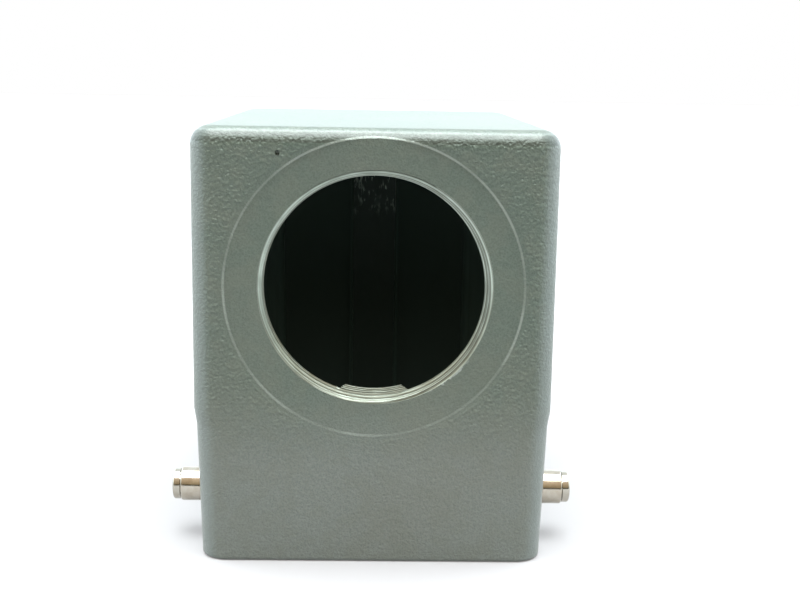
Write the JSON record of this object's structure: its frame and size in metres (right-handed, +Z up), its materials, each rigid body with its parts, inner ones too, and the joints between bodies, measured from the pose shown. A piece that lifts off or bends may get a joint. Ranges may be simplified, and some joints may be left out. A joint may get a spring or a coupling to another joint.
{
  "type": "heavy duty rectangular connector hood",
  "caption": "Die-cast hood of a rectangular connector, open at its rim, with a threaded side cable entry and roller locking pegs on its long sides.",
  "frame": {"origin": "middle of the rim plane, under the centre of the hood", "axes": "+Z up from the open rim to the roof, Y along the hood with the cable entry facing -Y, X across it towards the locking pegs"},
  "size_m": [0.094, 0.12, 0.097],
  "materials": {
    "painted_casting": "hammertone",
    "stainless_pin": "turned",
    "nickel_roller": "turned"
  },
  "bodies": {
    "hood": {"hood_shell": "painted_casting", "peg_pin_front_left": "stainless_pin", "peg_pin_front_right": "stainless_pin", "peg_pin_rear_left": "stainless_pin", "peg_pin_rear_right": "stainless_pin"},
    "roller_front_left": {"peg_roller_front_left": "nickel_roller"},
    "roller_front_right": {"peg_roller_front_right": "nickel_roller"},
    "roller_rear_left": {"peg_roller_rear_left": "nickel_roller"},
    "roller_rear_right": {"peg_roller_rear_right": "nickel_roller"}
  },
  "joints": [
    {"name": "roller_front_left_turn", "type": "hinge", "parent": "hood", "child": "roller_front_left", "pos_m": [-0.04217, -0.0406, 0.012], "axis": [1, 0, 0], "continuous": true},
    {"name": "roller_front_right_turn", "type": "hinge", "parent": "hood", "child": "roller_front_right", "pos_m": [0.04217, -0.0406, 0.012], "axis": [1, 0, 0], "continuous": true},
    {"name": "roller_rear_left_turn", "type": "hinge", "parent": "hood", "child": "roller_rear_left", "pos_m": [-0.04217, 0.0406, 0.012], "axis": [1, 0, 0], "continuous": true},
    {"name": "roller_rear_right_turn", "type": "hinge", "parent": "hood", "child": "roller_rear_right", "pos_m": [0.04217, 0.0406, 0.012], "axis": [1, 0, 0], "continuous": true}
  ]
}
